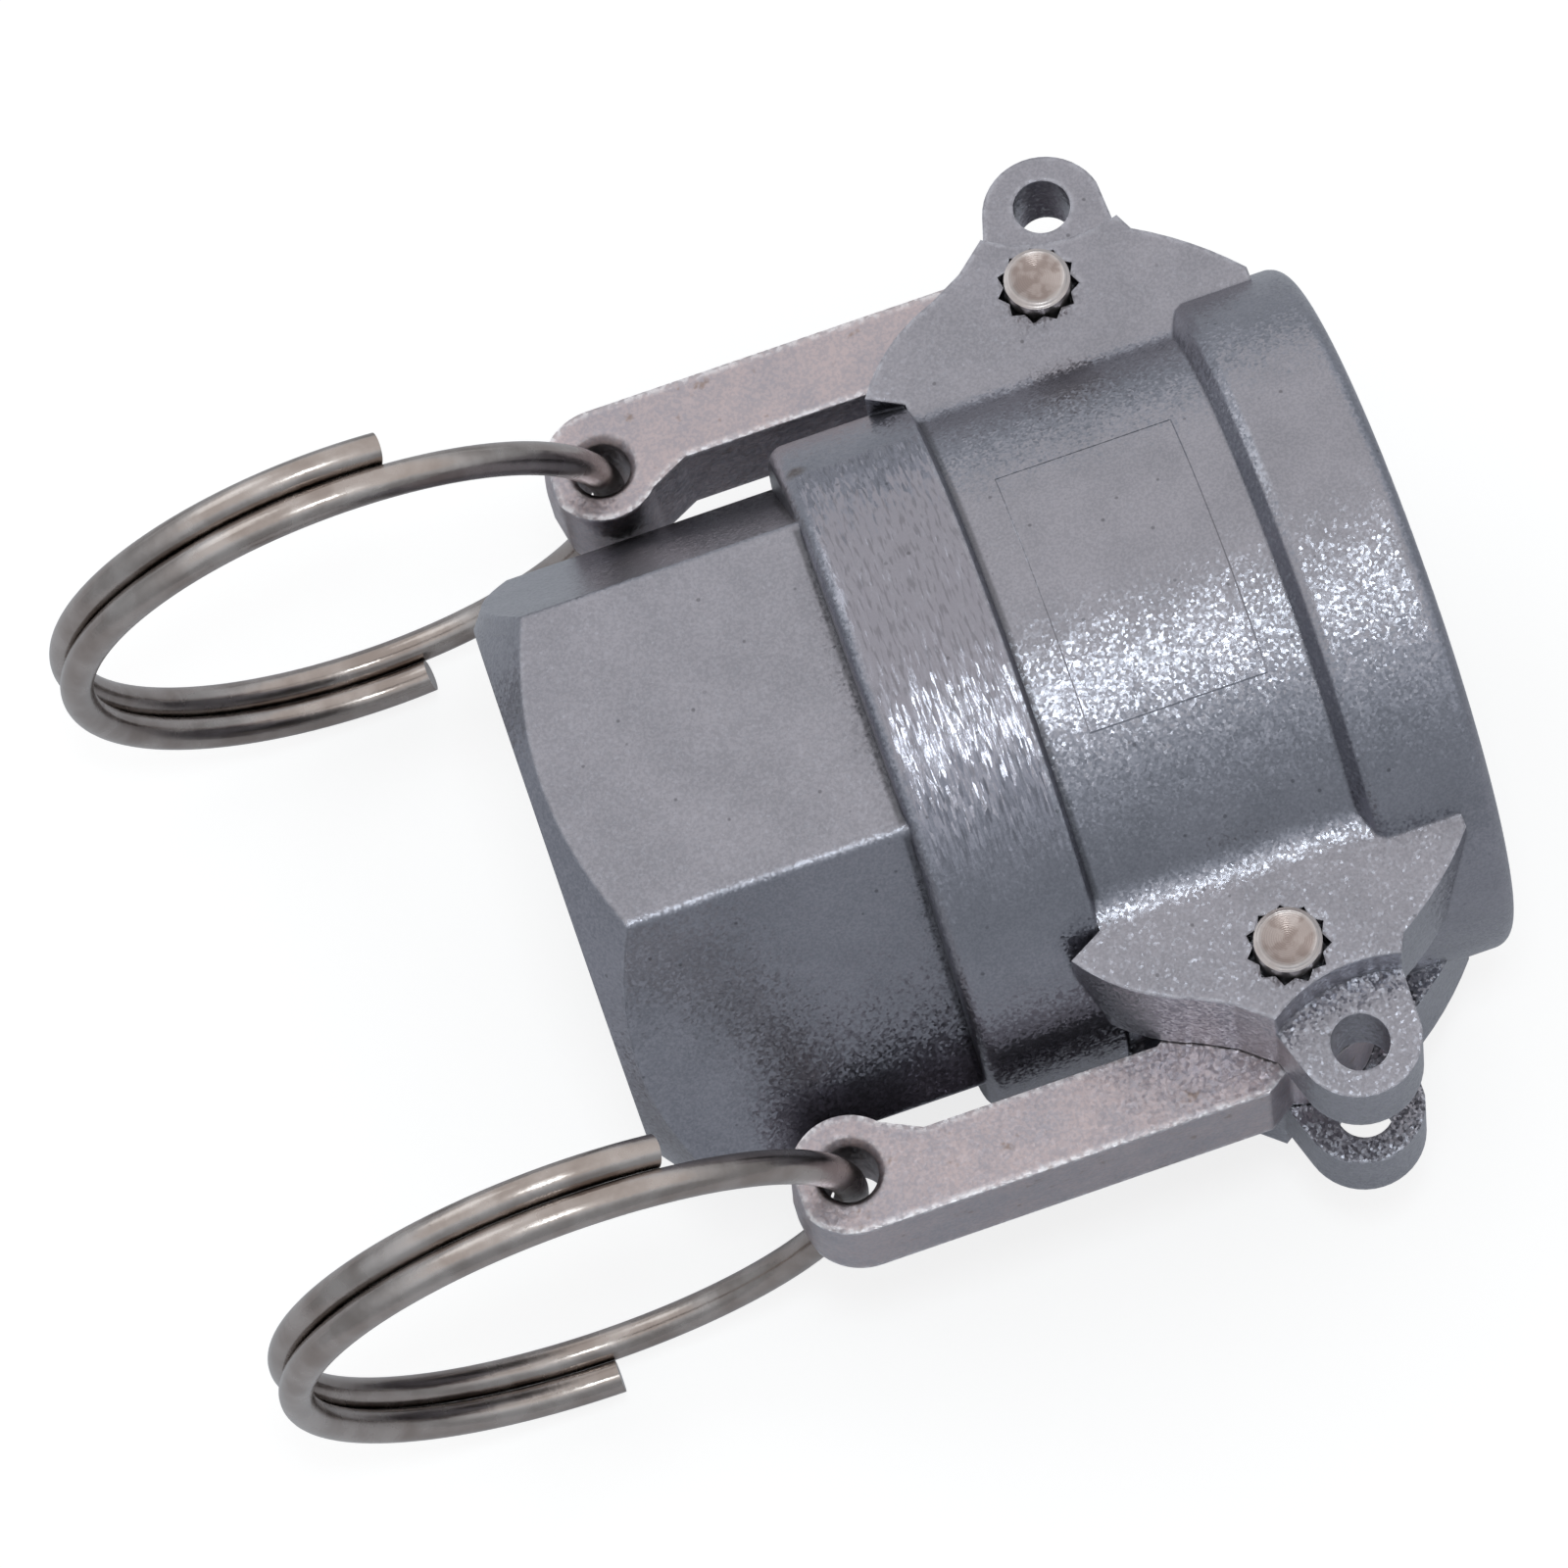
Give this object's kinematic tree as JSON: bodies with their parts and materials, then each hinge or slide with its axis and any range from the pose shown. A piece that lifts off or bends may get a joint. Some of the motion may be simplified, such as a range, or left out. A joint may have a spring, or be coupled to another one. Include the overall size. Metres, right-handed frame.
{
  "type": "cam and groove coupling",
  "caption": "Female cam and groove hose coupling with a hexagon pipe-thread end, hinged cam arms that close along the body, and a split pull ring through each arm.",
  "frame": {"origin": "centre of the socket's mouth, on the bore's axis", "axes": "+X along the bore, out of the socket's mouth; +Y from the bore to the left cam arm; +Z along the hinge pins"},
  "size_m": [0.0766, 0.0618, 0.0422],
  "materials": {
    "blasted_cast_steel": "blasted casting",
    "black_rubber": "matt moulded",
    "turned_steel": "turned",
    "satin_cast_steel": "satin, tumbled edges",
    "spring_wire": "drawn wire, polished"
  },
  "bodies": {
    "body": {"coupler_body": "blasted_cast_steel", "gasket": "black_rubber", "hinge_pin_left": "turned_steel", "hinge_pin_right": "turned_steel"},
    "left_arm": {"cam_arm_left": "satin_cast_steel"},
    "right_arm": {"cam_arm_right": "satin_cast_steel"},
    "left_ring": {"pull_ring_left": "spring_wire"},
    "right_ring": {"pull_ring_right": "spring_wire"}
  },
  "joints": [
    {"name": "left_arm_hinge", "type": "hinge", "parent": "body", "child": "left_arm", "pos_m": [-0.01405, 0.02175, 0], "axis": [0, 0, -1], "range_deg": [0, 105]},
    {"name": "right_arm_hinge", "type": "hinge", "parent": "body", "child": "right_arm", "pos_m": [-0.01405, -0.02175, 0], "axis": [0, 0, 1], "range_deg": [0, 105]},
    {"name": "left_ring_swing", "type": "hinge", "parent": "left_arm", "child": "left_ring", "pos_m": [-0.0415, 0.02335, 0], "axis": [0, 0, -1], "range_deg": [-25, 90]},
    {"name": "right_ring_swing", "type": "hinge", "parent": "right_arm", "child": "right_ring", "pos_m": [-0.0415, -0.02335, 0], "axis": [0, 0, 1], "range_deg": [-25, 90]}
  ]
}
